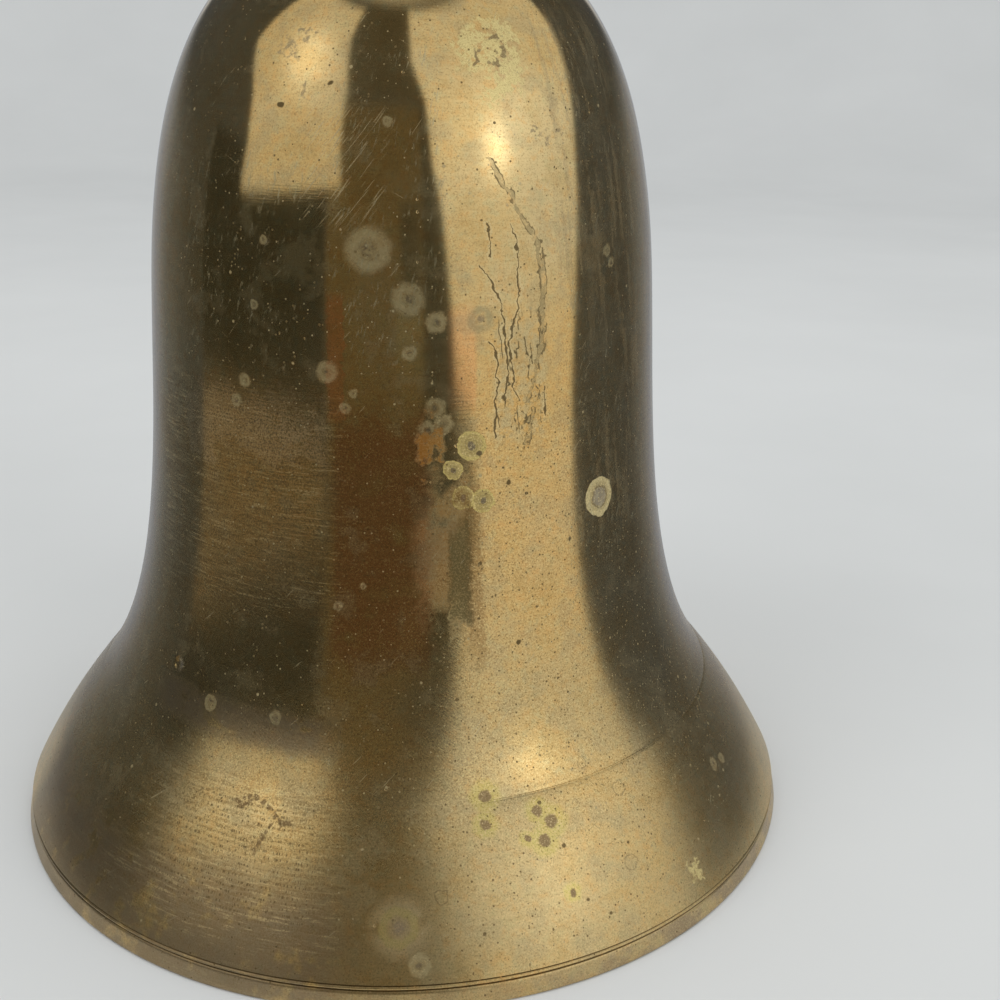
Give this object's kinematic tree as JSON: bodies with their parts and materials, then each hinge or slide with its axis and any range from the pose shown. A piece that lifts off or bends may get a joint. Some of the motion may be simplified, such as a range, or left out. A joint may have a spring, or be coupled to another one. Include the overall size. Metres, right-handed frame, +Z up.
{
  "type": "hand bell",
  "caption": "Tarnished brass hand bell with a long waist and flared mouth, a turned wooden handle and a hinged ball clapper that swings inside.",
  "frame": {"origin": "centre of the mouth, on the surface that the bell stands on", "axes": "+Z up the bell's axis towards the handle; the clapper swings in the XZ plane, about a pin along Y"},
  "size_m": [0.127, 0.127, 0.2731],
  "materials": {
    "bell_brass": "aged brass, turned, with brown and olive tarnish, ring spots and fine pits",
    "fitting_brass": "aged turned brass, darker in the hollows",
    "steel": "dull turned and forged steel with a brown oxide film",
    "grip_wood": "turned dark hardwood with a worn oil finish",
    "leather": "pressed brown leather"
  },
  "bodies": {
    "bell": {"bell_shell": "bell_brass", "crown_washer": "leather", "handle_collar": "fitting_brass", "grip_ferrule": "fitting_brass", "handle_grip": "grip_wood", "grip_cap": "fitting_brass", "finial_knob": "fitting_brass", "tie_rod": "steel", "inner_washer": "leather", "clamp_washer": "steel", "crown_nut": "steel", "yoke_lock_nut": "steel", "clapper_yoke": "steel", "clapper_pin": "steel", "pin_washer": "steel", "split_pin": "steel"},
    "clapper": {"clapper_shank": "steel", "eye_bush": "fitting_brass", "clapper_ball": "fitting_brass", "ball_nut": "steel"}
  },
  "joints": [
    {"name": "clapper_swing", "type": "hinge", "parent": "bell", "child": "clapper", "pos_m": [0, 0, 0.1001], "axis": [0, 1, 0], "range_deg": [-21.7, 21.7]}
  ]
}
